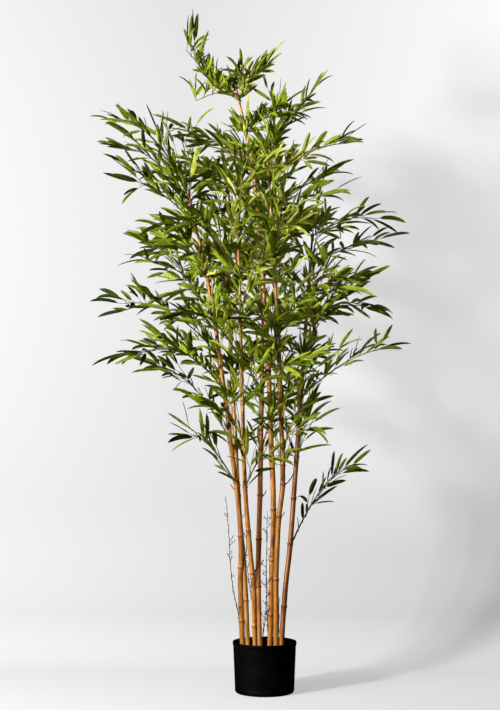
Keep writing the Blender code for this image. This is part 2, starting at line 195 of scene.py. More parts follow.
# each cane's girth, which is its radius at the foot, its knuckles without a spray, points on its
# middle line, then its sprays: height, heading, reach and rise of the stem, and how far the stem bows
# above a straight line, as a share of its reach
canes = {
    "left": {
        "girth": 0.0070,
        "bare": (0.188, 0.329, 0.412),
        "line": ((-0.0580, -0.010, 0.114), (-0.0632, -0.018, 0.270), (-0.0625, -0.025, 0.410),
                 (-0.0745, -0.031, 0.540), (-0.1415, -0.055, 1.038), (-0.2070, -0.070, 1.340)),
        "sprays": (
            (0.555, 190, 0.110, 0.125, 0.20),
            (0.800, 194, 0.190, 0.100, 0.20),
            (0.985, 172, 0.152, 0.200, 0.10),
            (1.095, 232, 0.130, 0.110, 0.20),
            (1.230, 184, 0.145, 0.112, 0.12),
            (1.290, 168, 0.185, 0.150, 0.20),
            (1.340, 200, 0.165, 0.163, 0.20),
            (1.308, 146, 0.100, 0.180, 0.05),
        ),
    },
    "left_back": {
        "girth": 0.0062,
        "bare": (0.235, 0.380, 0.515),
        "line": ((-0.0440, 0.030, 0.114), (-0.0510, 0.042, 0.270), (-0.0600, 0.052, 0.390),
                 (-0.0690, 0.063, 0.505), (-0.1100, 0.130, 1.265)),
        "sprays": (
            (0.640, 172, 0.205, 0.225, 0.20),
            (0.846, 178, 0.295, 0.190, 0.20),
            (0.950, 105, 0.220, 0.130, 0.20),
            (1.060, 150, 0.190, 0.140, 0.20),
            (1.160, 66, 0.190, 0.130, 0.20),
            (1.265, 118, 0.150, 0.170, 0.20),
        ),
    },
    "left_front": {
        "girth": 0.0066,
        "bare": (0.178, 0.318, 0.430),
        "line": ((-0.0240, -0.032, 0.114), (-0.0300, -0.053, 0.290), (-0.0390, -0.064, 0.385),
                 (-0.0514, -0.082, 0.540), (-0.0690, -0.160, 1.200)),
        "sprays": (
            (0.545, 318, 0.070, 0.080, 0.20),
            (0.660, 238, 0.100, 0.090, 0.20),
            (0.760, 330, 0.100, 0.100, 0.20),
            (0.870, 222, 0.165, 0.120, 0.20),
            (0.980, 285, 0.190, 0.130, 0.20),
            (1.090, 215, 0.160, 0.130, 0.20),
            (1.200, 275, 0.140, 0.180, 0.20),
        ),
    },
    "middle_back": {
        "girth": 0.0077,
        "bare": (0.276, 0.400, 0.518),
        "line": ((-0.0125, 0.012, 0.114), (-0.0168, 0.022, 0.300), (-0.0115, 0.033, 0.540),
                 (0.0020, 0.070, 1.280)),
        "sprays": (
            (0.640, 60, 0.100, 0.100, 0.20),
            (0.760, 108, 0.160, 0.120, 0.20),
            (0.890, 35, 0.190, 0.120, 0.20),
            (1.020, 128, 0.190, 0.140, 0.20),
            (1.150, 62, 0.200, 0.140, 0.20),
            (1.280, 95, 0.140, 0.180, 0.20),
        ),
    },
    "tall": {
        "girth": 0.0074,
        "bare": (0.200, 0.345, 0.480, 0.610, 0.735, 0.850, 0.960, 1.065),
        "line": ((0.0145, 0.020, 0.114), (0.0200, 0.014, 0.305), (0.0232, 0.008, 0.480),
                 (0.0067, -0.004, 0.931), (-0.0150, -0.010, 1.225), (-0.0310, -0.013, 1.398),
                 (-0.0775, -0.020, 1.606)),
        "sprays": (
            (1.150, 30, 0.140, 0.110, 0.10),
            (1.270, 196, 0.140, 0.110, 0.20),
            (1.370, 160, 0.120, 0.100, 0.20),
            (1.485, 335, 0.075, 0.050, 0.10),
            (1.572, 325, 0.035, 0.042, 0.10),
            (1.606, 200, 0.118, 0.0920, -0.35),
        ),
    },
    "middle_front": {
        "girth": 0.0070,
        "bare": (0.300, 0.465, 0.550),
        "line": ((0.0295, -0.036, 0.114), (0.0300, -0.038, 0.330), (0.0370, -0.040, 0.450),
                 (0.0470, -0.041, 0.560), (0.0350, -0.044, 0.960), (0.0060, -0.050, 1.440)),
        "sprays": (
            (0.600, 285, 0.075, 0.090, 0.20),
            (0.720, 288, 0.090, 0.100, 0.20),
            (0.850, 262, 0.170, 0.120, 0.20),
            (0.960, 318, 0.180, 0.125, 0.20),
            (1.080, 275, 0.180, 0.140, 0.20),
            (1.190, 325, 0.130, 0.105, 0.20),
            (1.280, 8, 0.120, 0.080, 0.00),
            (1.350, 352, 0.190, 0.095, 0.10),
            (1.440, 350, 0.105, 0.130, 0.05),
            (1.400, 25, 0.030, 0.172, 0.20),
        ),
    },
    "right": {
        "girth": 0.0075,
        "bare": (0.225, 0.510),
        "line": ((0.0440, -0.004, 0.114), (0.0545, 0.004, 0.265), (0.0680, 0.010, 0.385),
                 (0.0797, 0.015, 0.540), (0.1300, 0.030, 1.220)),
        "sprays": (
            (0.390, 356, 0.130, 0.195, 0.20),
            (0.620, 20, 0.012, 0.070, 0.20),
            (0.780, 350, 0.210, 0.127, 0.10),
            (0.890, 305, 0.140, 0.185, 0.20),
            (0.975, 8, 0.165, 0.045, 0.20),
            (1.060, 352, 0.110, 0.035, 0.10),
            (1.140, 30, 0.185, 0.075, 0.00),
            (1.220, 345, 0.135, 0.050, 0.05),
        ),
    },
}


def caneTop(cane):
    return cane["line"][-1][2]


def canePoint(cane, height):
    line = [Vector(point) for point in cane["line"]]
    slopes = []
    for k in range(len(line)):
        before, after = line[max(k - 1, 0)], line[min(k + 1, len(line) - 1)]
        slopes.append((after - before) / (after.z - before.z))
    k = sum(1 for point in line[1:-1] if point.z <= height)
    span = line[k + 1].z - line[k].z
    t = (height - line[k].z) / span
    leaving = slopes[k] * span * t * (1 - t) * (1 - t)
    arriving = slopes[k + 1] * span * t * t * (1 - t)
    return line[k].lerp(line[k + 1], t * t * (3 - 2 * t)) + leaving - arriving


def caneRadius(cane, height):
    share = max(0.0, (height - plan["fillTop"]) / (caneTop(cane) - plan["fillTop"]))
    return cane["girth"] + (plan["tipRadius"] - cane["girth"]) * share ** plan["taper"]


def knuckleHeights(cane):
    sprayed = {min(row[0], caneTop(cane) - plan["stemDrop"]) for row in cane["sprays"]}
    return sorted(sprayed.union(cane["bare"]))


def caneLine(cane):
    count = int(caneTop(cane) / plan["lineStep"]) + 1
    return [canePoint(cane, max(plan["fillTop"], k * plan["lineStep"])) for k in range(count)]


caneLines = {name: caneLine(cane) for name, cane in canes.items()}


def stemPath(root, out, reach, rise, arch, sway, steps):
    aside = up.cross(out)
    path = []
    for k in range(steps + 1):
        share = k / steps
        bow = 4 * share * (1 - share)
        climb = rise * share + arch * reach * bow
        path.append(root + out * reach * share + up * climb + aside * sway * reach * bow)
    return path


def along(path, share):
    place = share * (len(path) - 1)
    k = min(int(place), len(path) - 2)
    heading = path[k + 1] - path[k]
    return path[k] + heading * (place - k), heading.normalized()


def pathLength(path):
    return sum((b - a).length for a, b in zip(path, path[1:]))


def twigPlan(path, seed):
    # foot and end of each twig on a stem
    count = round(pathLength(path) / plan["twigSpacing"])
    count = max(plan["fewestTwigs"], min(plan["mostTwigs"], count))
    first, last = plan["twigShares"]
    twigs = []
    for k in range(count):
        draw = random.Random(f"{seed} twig {k}")
        root, heading = along(path, first + (last - first) * k / (count - 1))
        side, _ = across(heading, draw.uniform(-plan["twigRoll"], plan["twigRoll"]) + math.pi * (k % 2))
        direction = towards(heading, side, plan["twigAngle"] * draw.uniform(*plan["lengthSpread"]))
        twigs.append((root, root + direction * plan["twigLength"] * draw.uniform(*plan["lengthSpread"])))
    return twigs


def leafPlan(root, end, seed):
    # foot, heading, roll and length of each leaf on a twig
    direction = (end - root).normalized()
    leaves = []
    for k, share in enumerate(plan["leafShares"]):
        draw = random.Random(f"{seed} leaf {k}")
        side, _ = across(direction, draw.uniform(-plan["leafPlane"], plan["leafPlane"]))
        turn = draw.uniform(-plan["leafTurn"], plan["leafTurn"])
        if k > 0:
            turn += plan["leafAngle"] if k % 2 else -plan["leafAngle"]
        heading = (towards(direction, side, turn) + up * draw.uniform(*plan["leafNod"])).normalized()
        length = plan["leafLength"] * draw.uniform(*plan["lengthSpread"])
        roll = draw.uniform(-plan["leafRoll"], plan["leafRoll"])
        leaves.append((root + (end - root) * share, heading, roll, length))
    return leaves


leafLook = {
    "width": 0.0122,  # of a leaf "usualLength" long
    "widthSpread": (0.80, 1.12),
    "usualLength": 0.09,
    "widthShares": (0.55, 0.45),  # of the width, what every leaf has and what grows with its length
    "outline": (0.09, 5.5, 0.80),  # how soon a leaf is broad, how late it narrows, how blunt its point is
    "tipLength": 0.80,  # lengths as shares of the solid leaf a shoot stands for
    "sideLength": 0.62,
    "lengthSpread": (0.62, 1.12),
    "axis": (0.24, 0.36),
    "singleAxis": (0.05, 0.12),  # a leaf by itself sits close on its twig
    "axisBow": (-0.05, 0.10),
    "tipStray": (-0.2, 0.2),
    "tipLift": (-0.1, 0.25),
    "sideShares": (0.80, 0.45, 0.15, 0.60, 0.30),
    "sideAngle": (0.30, 0.90),
    "sideLift": (-0.15, 0.35),
    "droop": (0.05, 0.80),
    "bend": (-0.30, 0.30),
    "twist": (-0.6, 0.6),
    "roll": (0.30, 1.35),  # turned well out of the level, so that a leaf shows its face from the side
    "stations": 8,
    "channel": (0.10, 0.60),
    "thickness": 0.0005,
    "thicknessShares": (1.6, 1.0),  # at the stalk, and what it loses by the tip
    "thinnestHalf": 0.00035,
    "crease": math.radians(24),
    "clearance": 0.002,  # between a leaf's middle line and a cane
    "tested": (0.3, 0.5, 0.7, 0.9),  # the places along a leaf where that is tested
    "sag": 0.45,  # how far the tip sinks, as a share of length times droop
    "tints": {  # name: colour, share of all leaves
        "deep": ((0.018, 0.034, 0.0008), 0.20),
        "mid": ((0.098, 0.148, 0.0035), 0.22),
        "olive": ((0.210, 0.255, 0.0110), 0.22),
        "fresh": ((0.330, 0.420, 0.0220), 0.23),
        "lime": ((0.560, 0.620, 0.0900), 0.13),
    },
    "toneWeight": 0.40,  # what a leaf's tint owes to its spray, and what to chance
    "chanceWeight": 0.60,
    "toneStray": 0.15,
    "backShare": 0.80,  # undersides are a paler, greyer version of each tint
    "backPale": (0.022, 0.028, 0.003),
    "roughness": (0.40, 0.55),  # face, underside
    "specular": 0.08,
    "patchTones": (0.62, 1.30),
    "patchScale": 70,
    "veinScale": 900,
}


def leafMaterial(name, colour, roughness):
    look = leafLook
    material, tree, shader = newMaterial(name, roughness, specular=look["specular"])
    darker, lighter = (tuple(c * share for c in colour) for share in look["patchTones"])
    patches = noiseNode(tree, look["patchScale"], detail=2)
    tone = rampNode(tree, patches, [(0.30, darker), (0.52, colour), (0.72, lighter)])
    tree.links.new(tone, shader.inputs["Base Color"])
    bumpInto(tree, shader, noiseNode(tree, look["veinScale"], detail=2), 0.25, 0.0004)
    return material


def widthProfile(share):
    # rounded at the stalk, broad past the middle, then drawn in to a blunt point
    soon, late, blunt = leafLook["outline"]
    return (1 - np.exp(-share / soon)) * (1 - share ** late) ** blunt


def leafMeshes(leaves):
    # rows of foot, heading, side, length, width, droop, bend, twist, channel become closed keeled blades
    count, stations = len(leaves), leafLook["stations"]
    thick, thinning = leafLook["thicknessShares"]
    foot, heading, side = (np.array([row[k] for row in leaves], float) for k in range(3))
    numbers = np.array([row[3:] for row in leaves], float)
    length, width, droop, bend, twist, channel = (numbers[:, k:k + 1] for k in range(6))
    down = np.array([[0, 0, -1.0]])
    middle = foot.copy()
    rings = []
    for k in range(stations):
        share = k / (stations - 1)
        side = side - heading * (side * heading).sum(1, keepdims=True)
        side /= np.linalg.norm(side, axis=1, keepdims=True)
        lift = np.cross(side, heading)
        turn = twist / stations
        side = side * np.cos(turn) + lift * np.sin(turn)
        lift = np.cross(side, heading)
        half = np.maximum(width / 2 * widthProfile(share), leafLook["thinnestHalf"])
        ring = [middle + (side * u + lift * channel * abs(u)) * half for u in (-1, 0, 1)]
        ring.append(middle - lift * leafLook["thickness"] * (thick - thinning * share))
        rings.append(np.stack(ring, 1))
        middle = middle + heading * length / (stations - 1)
        # a leaf droops more towards its tip
        heading = heading + (down * droop * (0.5 + share) + side * bend) / (stations - 1)
        heading /= np.linalg.norm(heading, axis=1, keepdims=True)
    points = np.stack(rings, 1).reshape(-1, 3)
    quads, slots = [], []
    for k in range(stations - 1):
        a, b = k * 4, k * 4 + 4
        quads += [(a, b, b + 1, a + 1), (a + 1, b + 1, b + 2, a + 2)]
        quads += [(a + 2, b + 2, b + 3, a + 3), (a + 3, b + 3, b, a)]
        slots += [0, 0, 1, 1]
    last = (stations - 1) * 4
    caps = [(0, 1, 2, 3), (last + 3, last + 2, last + 1, last)]
    faces = []
    for leaf in range(count):
        base = leaf * stations * 4
        faces += [tuple(base + n for n in face) for face in quads + caps]
    return points, faces, (slots + [1, 1]) * count


def pickTint(draw, tone):
    # tone leans a spray towards dark (0) or light (1), and every leaf strays from it
    stray = leafLook["toneStray"]
    place = leafLook["toneWeight"] * tone + leafLook["chanceWeight"] * draw.random()
    place = min(0.999, max(0.0, place + draw.uniform(-stray, stray)))
    for name, (_, share) in leafLook["tints"].items():
        if place < share:
            return name
        place -= share
    return name


# each spray is a stem, its twigs, and a tuft of leaves for each leaf of the solid
sprayLook = {
    "stemRadii": (0.0022, 0.0011),
    "stemSteps": 24,
    "stemSides": 8,
    "twigRadii": (0.0013, 0.0009),
    "twigSides": 6,
    "twigArch": 0.04,
    "stalkRadii": (0.0009, 0.0005),
    "stalkSides": 5,
    "stalkSunk": 0.001,  # how far a stalk starts inside what bears it
    "stemRoot": 0.5,  # where stems and shoots start inside a cane, as shares of its radius
    "shootRoot": 0.7,
    "fillerSpacing": (0.016, 0.030),  # in the crown, and what it grows by for each metre below the waist
    "fillerShares": (0.10, 0.92),
    "fillerLength": 0.084,
    "fillerAngle": (0.30, 0.90),
    "fillerRoll": (0.3, 1.4),
    "fillerJitter": 0.7,  # how far each strays along the stem, as a share of the space for it
    "shootRoll": (-1, 1),
    "crownAxis": (0.020, 0.85, -0.17),  # where the axis is at a height, and how it leans from there on
    "shoulder": 1.36,  # the crown thins out above its shoulder and below its waist
    "waist": 0.95,
    "thinning": (0.9, 0.6),
    "fullness": ((0.10, 5), (0.13, 4), (0.17, 3), (0.22, 2)),  # distance from the axis, leaves to a shoot
    "leafy": {  # sprays that count as nearer the axis by so much, and so are fuller
        "spray_tall_6": 0.24,
        "spray_tall_5": 0.24,
        "spray_tall_4": 0.14,
        "spray_left_1": 0.08,
        "spray_left_2": 0.16,
        "spray_left_3": 0.06,
        "spray_left_4": 0.10,
        "spray_left_5": 0.05,
        "spray_left_7": -0.05,
        "spray_left_8": -0.05,
        "spray_left_back_1": 0.14,
        "spray_left_back_2": 0.16,
        "spray_left_back_4": 0.10,
        "spray_left_front_1": 0.10,
        "spray_left_front_2": 0.08,
        "spray_middle_front_1": 0.08,
        "spray_middle_front_6": -0.06,
        "spray_middle_front_7": -0.12,
        "spray_right_3": 0.03,
        "spray_right_4": 0.02,
        "spray_right_5": -0.03,
        "spray_right_6": -0.20,
        "spray_right_7": -0.02,
        "spray_right_8": 0.04,
    },
    "knuckled": {  # sprays with a number of knuckle shoots of their own
        "spray_tall_6": 6,
        "spray_tall_5": 7,
        "spray_tall_4": 9,
        "spray_left_2": 3,
        "spray_left_back_1": 3,
        "spray_right_3": 6,
        "spray_right_4": 8,
        "spray_right_7": 3,
        "spray_middle_front_4": 9,
    },
    "turned": {  # sprays whose leaves all lean one way
        "spray_tall_6": (0.9, 0.0, 1.7),
        "spray_tall_5": (0.0, 0.0, 0.5),
        "spray_left_3": (-0.1, 0.0, -0.30),
        "spray_left_back_2": (0.0, 0.0, 0.15),
        "spray_right_3": (0.0, 0.0, 0.2),
        "spray_right_6": (0.0, 0.0, 0.5),
    },
    "crowded": {  # more shoots on their stems, or fewer
        "spray_tall_6": 7,
        "spray_tall_5": 1,
        "spray_right_1": 5,
        "spray_left_1": 2,
        "spray_left_2": 3,
        "spray_left_back_1": 2,
        "spray_left_back_2": -3,
        "spray_left_front_1": 2,
    },
    "darker": {"spray_right_1": 0.7},
    "steepness": (0.1, 1.4),  # of knuckle shoots, as rise for each metre out
    "steeper": 8.0,  # they stand up more above the shoulder
    "shorter": 1.0,  # above the shoulder the leaves lose this share for each metre
    "knuckleShoots": (6, 11),  # between waist and shoulder, and how many fewer for each metre outside that
    "knuckleFullness": 4,
    "knuckleLength": (1.1, 1.5),
    "knuckleTurn": (0.2, 0.8),
    "lowestKnuckleShoots": 0.50,
    "risers": (0.10, 0.20),  # slim stems that climb beside the cane from each knuckle, and their lengths
    "riserLean": (0.10, 0.38),
    "riserTurn": (0.5, 1.3),
    "riserArch": 0.3,
    "riserSway": (-0.1, 0.1),
    "riserLeaf": (0.7, 1.1),
    "riserSteps": 10,
    "riserRadii": (0.0013, 0.0006),  # at the foot, and what it loses by the top
    "riserShares": (0.35, 0.52, 0.68, 0.84, 1.0),  # where their shoots leave them
    "lowRiserShares": (0.68, 1.0),
    "riserFullness": 2,
    "innermost": 0.10,  # nearer the axis than this a knuckle has two risers, not one
    "tone": (0.40, 1.0, 0.3),  # of a spray at the middle, more for each metre right, less for each back: painted light and shade, lighter tints where the lamps leave the right in shade, darker at the back
    "toneStray": 0.25,
    "innerPaintedLight": (0.95, 1.9),  # painted light: leaves near the axis get lighter tints against the shade inside the crown, less so with each metre from it
    "outerPaintedShade": (0.20, 4.5),  # painted shade: further out than this they darken by so much for each metre, against the lamps' light on the rim
    "lowTone": 2.6,  # and by so much for each metre under the waist
    "litStem": ((0.20, 0.13, 0.025), (0.70, 0.60, 0.16)),
    "shadedStem": ((0.030, 0.026, 0.006), (0.13, 0.12, 0.030)),
    "shadedBelow": 0.46,  # sprays of a darker tone than this have the shaded stem
}


def fromAxis(point):
    x, height, lean = sprayLook["crownAxis"]
    return math.hypot(point.x - x - lean * (point.z - height), point.y)


def underWaist(height):
    return max(0.0, sprayLook["waist"] - height)


def overShoulder(height):
    return max(0.0, height - sprayLook["shoulder"])


def lengthShare(height):
    return 1 - sprayLook["shorter"] * overShoulder(height)


def stemSlot(tone):
    return 1 if tone < sprayLook["shadedBelow"] else 0


def fullness(point, spray):
    # full shoots in the middle of the crown, single leaves at its rim
    above, below = sprayLook["thinning"]
    distance = fromAxis(point) + above * overShoulder(point.z) + below * underWaist(point.z)
    distance -= sprayLook["leafy"].get(spray, 0)
    for limit, count in sprayLook["fullness"]:
        if distance < limit:
            return count
    return 1


def clearOfCanes(start, heading, length, droop):
    # False if a leaf's middle line would run through a cane, as far as a few points on it tell
    tip = start + heading * length - up * length * droop * leafLook["sag"]
    for share in leafLook["tested"]:
        point = start.lerp(tip, share)
        for name, cane in canes.items():
            if plan["fillTop"] < point.z < caneTop(cane):
                middle = caneLines[name][int(point.z / plan["lineStep"])]
                gap = math.hypot(point.x - middle.x, point.y - middle.y)
                if gap < cane["girth"] + leafLook["clearance"]:
                    return False
    return True


def addLeaf(start, out, length, draw, tone, growth):
    look = leafLook
    droop = draw.uniform(*look["droop"])
    bend = draw.uniform(*look["bend"])
    fixed, growing = look["widthShares"]
    width = look["width"] * draw.uniform(*look["widthSpread"])
    width *= fixed + growing * length / look["usualLength"]
    side, _ = across(out, draw.choice((-1, 1)) * draw.uniform(*look["roll"]))
    twist = draw.uniform(*look["twist"])
    channel = draw.uniform(*look["channel"])
    # painted light and shade in the tint: lighter near the crown's axis, darker at its rim
    lightest, fade = sprayLook["innerPaintedLight"]
    rim, loss = sprayLook["outerPaintedShade"]
    distance = fromAxis(start)
    tone += max(0.0, lightest - fade * distance) - max(0.0, loss * (distance - rim))
    tint = pickTint(draw, tone - sprayLook["lowTone"] * underWaist(start.z))
    if clearOfCanes(start, out, length, droop):
        growth["leaves"][tint].append((start, out, side, length, width, droop, bend, twist, channel))


def addShoot(foot, heading, roll, length, count, draw, tone, growth):
    # a fine twig with a leaf at its end and others left and right along it
    look = leafLook
    axis = length * draw.uniform(*look["axis" if count > 1 else "singleAxis"])
    middle = foot + heading * axis * 0.5 + up * axis * draw.uniform(*look["axisBow"])
    end = foot + heading * axis
    fat, slim = sprayLook["stalkRadii"]
    path = [foot - heading * sprayLook["stalkSunk"], middle, end]
    growth["twigs"].tube(path, [fat, (fat + slim) / 2, slim], sprayLook["stalkSides"], stemSlot(tone))
    side, _ = across(heading, roll)
    out = heading + side * draw.uniform(*look["tipStray"]) + up * draw.uniform(*look["tipLift"])
    reach = length * look["tipLength"] * draw.uniform(*look["lengthSpread"])
    addLeaf(end, out.normalized(), reach, draw, tone, growth)
    hand = draw.choice((-1, 1))
    for k in range(count - 1):
        hand = -hand
        start = foot.lerp(end, look["sideShares"][k])
        out = towards(heading, side * hand, draw.uniform(*look["sideAngle"]))
        out = (out + up * draw.uniform(*look["sideLift"])).normalized()
        reach = length * look["sideLength"] * draw.uniform(*look["lengthSpread"])
        addLeaf(start, out, reach, draw, tone, growth)


def planSpray(caneName, cane, number):
    # where a spray leaves its cane, how its stem runs and how light it is
    look = sprayLook
    height, heading, reach, rise, arch = cane["sprays"][number]
    name = f"spray_{caneName}_{number + 1}"
    height = min(height, caneTop(cane) - plan["stemDrop"])
    radius = caneRadius(cane, height)
    out = outwards(math.radians(heading))
    draw = random.Random(f"{name} stem")
    sway = draw.uniform(-plan["stemSway"], plan["stemSway"])
    knuckle = canePoint(cane, height)
    tip = knuckle + out * reach
    # a spray's tone is painted light and shade: lighter to the right, darker to the back, with a random
    # stray
    base, right, back = look["tone"]
    tone = base + right * tip.x - back * tip.y + draw.uniform(-look["toneStray"], look["toneStray"])
    run = (out, reach, rise, arch, sway)
    return {
        "name": name,
        "height": height,
        "turn": math.radians(heading),
        "knuckle": knuckle,
        "radius": radius,
        "tone": tone - look["darker"].get(name, 0),
        "lean": Vector(look["turned"].get(name, (0, 0, 0))),
        "path": stemPath(knuckle + out * radius, *run, plan["stemSteps"]),
        "finePath": stemPath(knuckle + out * radius * look["stemRoot"], *run, look["stemSteps"]),
    }


def growStem(spray, growth):
    fat, slim = sprayLook["stemRadii"]
    steps = sprayLook["stemSteps"]
    radii = [fat + (slim - fat) * (k / steps) for k in range(steps + 1)]
    growth["stems"].tube(spray["finePath"], radii, sprayLook["stemSides"], stemSlot(spray["tone"]))


def growTwigs(spray, growth):
    # shoots on the stem's end and on each twig, where the solid has its leaves
    look = sprayLook
    path, name, tone = spray["path"], spray["name"], spray["tone"]
    bearers = [(path[-2], path[-1])] + twigPlan(path, name)
    for k, (root, end) in enumerate(bearers):
        if k > 0:
            middle = root.lerp(end, 0.5) + up * (end - root).length * look["twigArch"]
            fat, slim = look["twigRadii"]
            radii = [fat, (fat + slim) / 2, slim]
            growth["twigs"].tube([root, middle, end], radii, look["twigSides"], stemSlot(tone))
        for n, (foot, heading, roll, length) in enumerate(leafPlan(root, end, f"{name} {k}")):
            draw = random.Random(f"{name} {k} shoot {n}")
            heading = (heading + spray["lean"]).normalized()
            # the leaf at the stem's own end keeps its full length
            if k > 0 or n > 0:
                length *= lengthShare(foot.z)
            addShoot(foot, heading, roll, length, fullness(foot, name), draw, tone, growth)


def growFillers(spray, growth):
    # short side shoots clothe the stem between the main twigs
    look = sprayLook
    path, name = spray["path"], spray["name"]
    first, last = look["fillerShares"]
    spacing, wider = look["fillerSpacing"]
    count = round(pathLength(path) * (last - first) / (spacing + wider * underWaist(spray["height"])))
    count = max(1, count) + look["crowded"].get(name, 0)
    for k in range(count):
        draw = random.Random(f"{name} filler {k}")
        place = first + (last - first) * (k + draw.random() * look["fillerJitter"]) / count
        root, heading = along(path, place)
        roll = draw.choice((1, 1, -1)) * draw.uniform(*look["fillerRoll"])
        side, _ = across(heading, math.pi - roll if k % 2 else roll)
        out = towards(heading, side, draw.uniform(*look["fillerAngle"])) + spray["lean"] / 2
        length = look["fillerLength"] * draw.uniform(*plan["lengthSpread"]) * lengthShare(root.z)
        roll = draw.uniform(*look["shootRoll"])
        addShoot(root, out.normalized(), roll, length, fullness(root, name), draw, spray["tone"], growth)


def growKnuckleShoots(spray, growth):
    # a ring of steep shoots round the cane at the knuckle itself
    look = sprayLook
    height, name = spray["height"], spray["name"]
    if height < look["lowestKnuckleShoots"]:
        return
    full, fewer = look["knuckleShoots"]
    count = max(1, round(full - fewer * (underWaist(height) + overShoulder(height))))
    count = look["knuckled"].get(name, count)
    flattest, steepest = look["steepness"]
    steepest += look["steeper"] * overShoulder(height)
    for k in range(count):
        draw = random.Random(f"{name} knuckle {k}")
        outward = outwards(spray["turn"] + math.tau * (k + draw.uniform(*look["knuckleTurn"])) / count)
        heading = (outward + up * draw.uniform(flattest, steepest)).normalized()
        length = look["fillerLength"] * draw.uniform(*look["knuckleLength"]) * lengthShare(height)
        root = spray["knuckle"] + outward * spray["radius"] * look["shootRoot"]
        leafCount = min(look["knuckleFullness"], fullness(root, name))
        roll = draw.uniform(*look["shootRoll"])
        addShoot(root, heading, roll, length, leafCount, draw, spray["tone"], growth)


def growRisers(spray, growth):
    # slim stems that climb beside the cane, with a shoot here and there
    look = sprayLook
    knuckle, name = spray["knuckle"], spray["name"]
    if not look["lowestKnuckleShoots"] < knuckle.z < look["shoulder"]:
        return
    low = underWaist(knuckle.z) > 0
    shares = look["lowRiserShares" if low else "riserShares"]
    count = 3 if low else 2 if fromAxis(knuckle) < look["innermost"] else 1
    fat, loss = look["riserRadii"]
    steps = look["riserSteps"]
    radii = [fat - loss * k / steps for k in range(steps + 1)]
    for number in range(count):
        draw = random.Random(f"{name} riser {number}")
        outward = outwards(spray["turn"] + draw.uniform(*look["riserTurn"]) * (1 if number % 2 else -1))
        length = draw.uniform(*look["risers"])
        reach = length * draw.uniform(*look["riserLean"])
        foot = knuckle + outward * spray["radius"] * look["shootRoot"]
        sway = draw.uniform(*look["riserSway"])
        path = stemPath(foot, outward, reach, length, look["riserArch"], sway, steps)
        growth["stems"].tube(path, radii, look["twigSides"])
        for share in shares:
            root, heading = along(path, share)
            side, _ = across(heading, draw.uniform(-math.pi, math.pi))
            out = towards(heading, side, draw.uniform(*look["fillerAngle"]))
            leafLength = look["fillerLength"] * draw.uniform(*look["riserLeaf"])
            leafCount = min(look["riserFullness"], fullness(root, name))
            roll = draw.uniform(*look["shootRoll"])
            addShoot(root, out, roll, leafLength, leafCount, draw, spray["tone"], growth)


def stemMaterial(kind):
    material, tree, shader = newMaterial(kind, 0.5)
    dark, pale = sprayLook[kind]
    tone = rampNode(tree, noiseNode(tree, 45), [(0.38, dark), (0.62, pale)])
    tree.links.new(tone, shader.inputs["Base Color"])
    bumpInto(tree, shader, noiseNode(tree, 500), 0.3, 0.0004)
    return material


def makeFoliage():
    leaves = {name: [] for name in leafLook["tints"]}
    growth = {"leaves": leaves, "stems": Builder(), "twigs": Builder()}
    nodes = []
    for caneName, cane in canes.items():
        for number in range(len(cane["sprays"])):
            spray = planSpray(caneName, cane, number)
            for grow in (growStem, growTwigs, growFillers, growKnuckleShoots, growRisers):
                grow(spray, growth)
            nodes.append(spray["name"])
    finishes = [stemMaterial(kind) for kind in ("litStem", "shadedStem")]
    made = [growth["stems"].finish("sprayStems", finishes), growth["twigs"].finish("sprayTwigs", finishes)]
    faceRoughness, backRoughness = leafLook["roughness"]
    for name, (colour, _) in leafLook["tints"].items():
        points, faces, slots = leafMeshes(leaves[name])
        back = tuple(c * leafLook["backShare"] + b for c, b in zip(colour, leafLook["backPale"]))
        face = leafMaterial(f"leaf_{name}", colour, faceRoughness)
        finishes = [face, leafMaterial(f"leafBack_{name}", back, backRoughness)]
        piece = addMesh(f"leaves_{name}", points, faces, finishes, slots)
        piece.data.set_sharp_from_angle(angle=leafLook["crease"])
        made.append(piece)
        print("leaves", name, len(leaves[name]), "faces", len(faces))
    for piece in made:
        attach(piece, "root")
    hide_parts(*nodes)
    print("foliage done:", sum(len(rows) for rows in leaves.values()), "leaves")


caneLook = {
    "sides": 20,
    "step": 0.0045,
    "ringSteps": (0.0017, 0.0034, 0.005, 0.007, 0.010),  # closer rings of points above and below a knuckle
    "ring": (0.20, 0.0, 0.0034),  # share each adds to the radius, height from the knuckle, half width
    "groove": (-0.055, 0.0062, 0.0024),
    "shoulder": (0.05, -0.0085, 0.0045),
    "waist": (0.03, 0.05),  # what a cane loses between knuckles, and how far from one it has lost it all
    "oval": 0.03,
    "grain": (0.00016, 2.2, 70),  # depth, how fine round the cane, how fine along it
    "wander": (0.0014, 9),  # how far a cane strays from its line, and how often
    "roughness": (0.37, 0.60),  # bark, rings
    "shine": 0.36,
    "streaks": (520, 520, 9),
    "patches": (60, 60, 14),
    "scorch": (110, 110, 22),
    "freckles": 420,
    "fibres": (1500, 1500, 60),
    "colours": {  # light, middle and dark of each cane: mostly its own colour, with some canes painted lighter against the shade that other canes cast on them
        "left": ((0.64, 0.26, 0.030), (0.40, 0.125, 0.008), (0.070, 0.012, 0.0005)),
        "left_back": ((0.68, 0.32, 0.042), (0.46, 0.16, 0.013), (0.09, 0.022, 0.0012)),
        "left_front": ((0.74, 0.33, 0.046), (0.50, 0.16, 0.012), (0.09, 0.018, 0.0007)),
        "middle_back": ((0.78, 0.29, 0.034), (0.54, 0.15, 0.010), (0.080, 0.014, 0.0006)),
        "tall": ((0.78, 0.32, 0.040), (0.48, 0.145, 0.008), (0.050, 0.011, 0.0005)),
        "middle_front": ((0.64, 0.26, 0.032), (0.42, 0.13, 0.008), (0.080, 0.016, 0.0005)),
        "right": ((0.48, 0.155, 0.004), (0.34, 0.080, 0.002), (0.055, 0.010, 0.0002)),
    },
}


